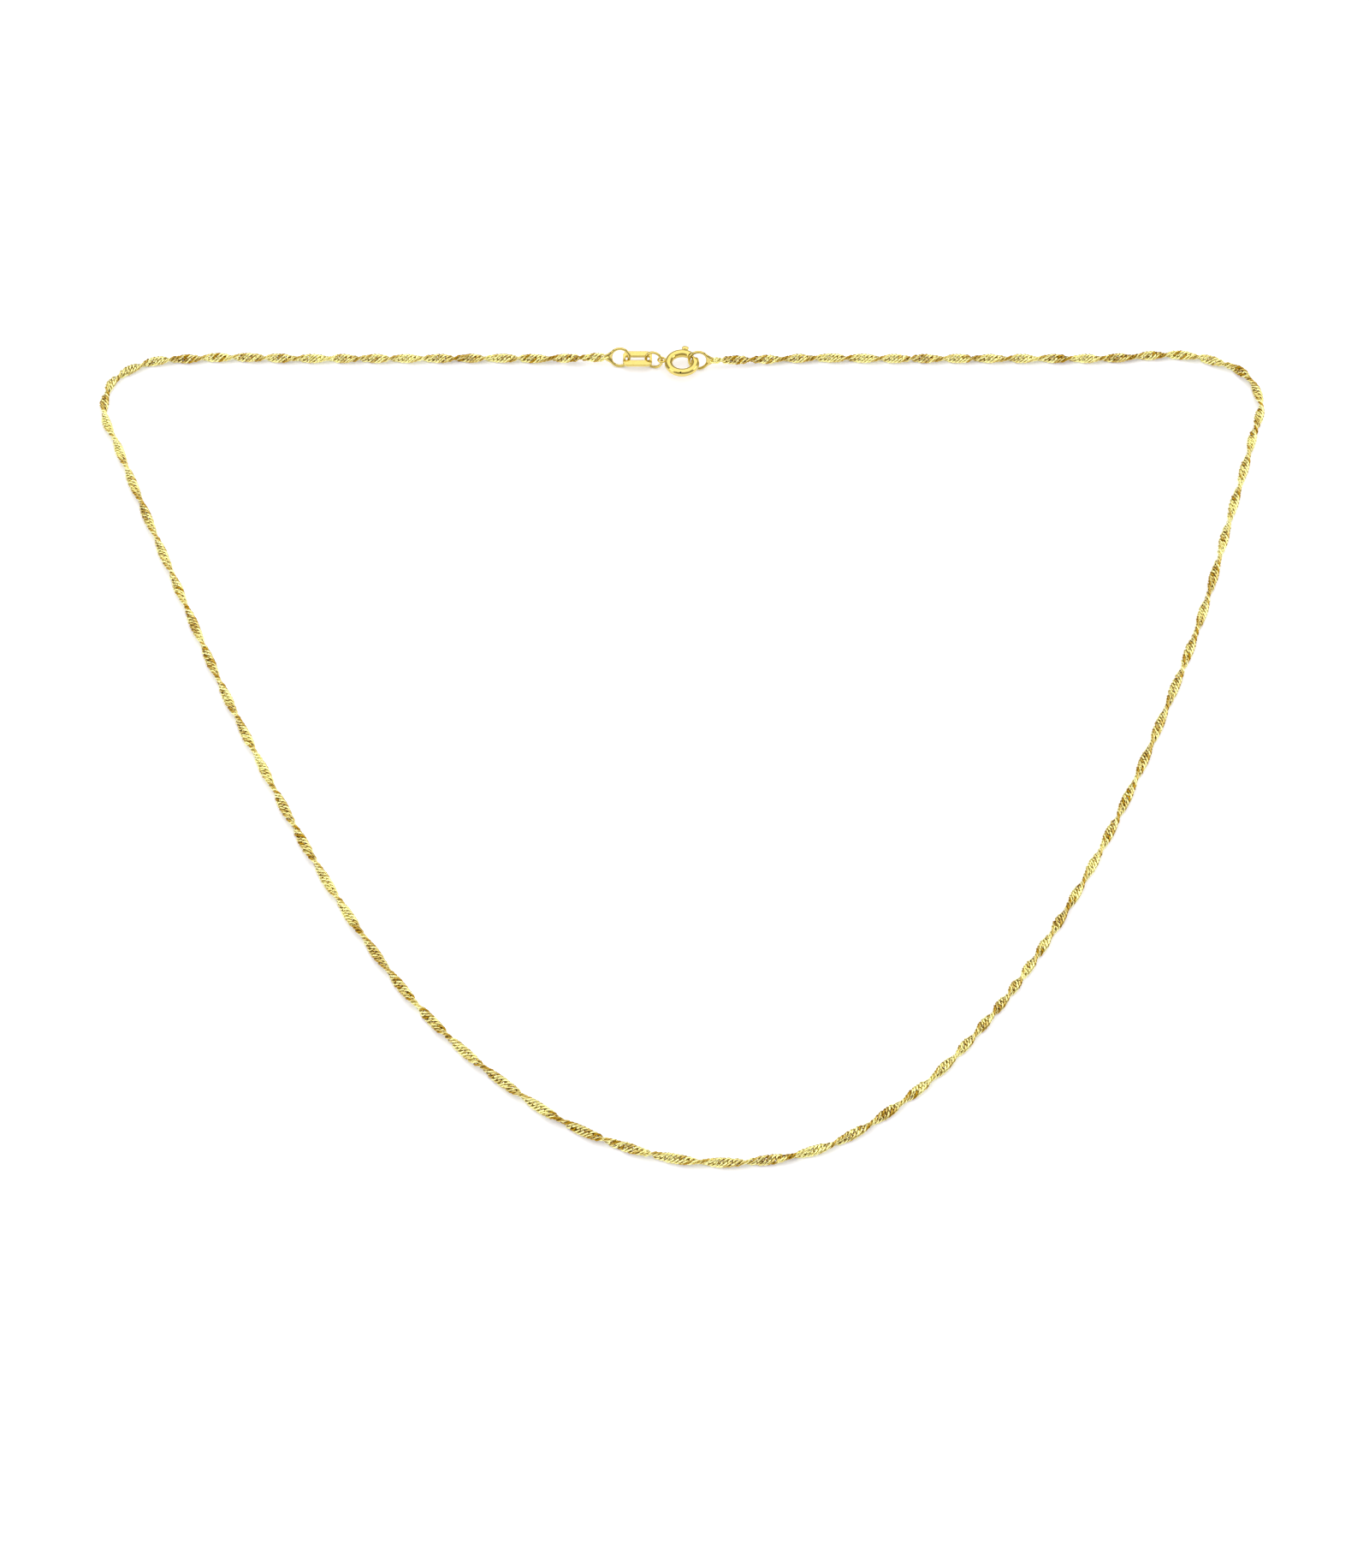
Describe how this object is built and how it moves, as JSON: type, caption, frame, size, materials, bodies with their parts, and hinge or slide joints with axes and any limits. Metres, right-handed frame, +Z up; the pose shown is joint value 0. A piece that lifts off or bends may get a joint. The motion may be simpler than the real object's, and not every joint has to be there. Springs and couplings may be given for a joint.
{
  "type": "singapore chain necklace",
  "caption": "Twisted curb ribbon neck chain in a whole loop, closed by a spring ring clasp with jump ring, slotted tag and soldered end rings.",
  "frame": {"origin": "on the surface the necklace lies on, under the middle of its bounding box", "axes": "+X along the clasp row, from the tag to the right end ring; +Y across the loop towards the clasp; +Z up"},
  "size_m": [0.1662, 0.1453, 0.003],
  "materials": {
    "chain_gold": "polished yellow gold, bright-cut links",
    "findings_gold": "polished yellow gold",
    "clasp_gold": "polished yellow gold"
  },
  "bodies": {
    "necklace": {"chain": "chain_gold", "end_ring_left": "findings_gold", "tag": "findings_gold", "jump_ring": "findings_gold", "spring_ring": "clasp_gold", "end_ring_right": "findings_gold"},
    "trigger": {"trigger": "clasp_gold"}
  },
  "joints": [
    {"name": "trigger_slide", "type": "hinge", "parent": "necklace", "child": "trigger", "pos_m": [0, 0.0692, 0.00165], "axis": [0, 0, 1], "range_deg": [0, 38], "stiffness_Nm_per_rad": 0.001}
  ]
}
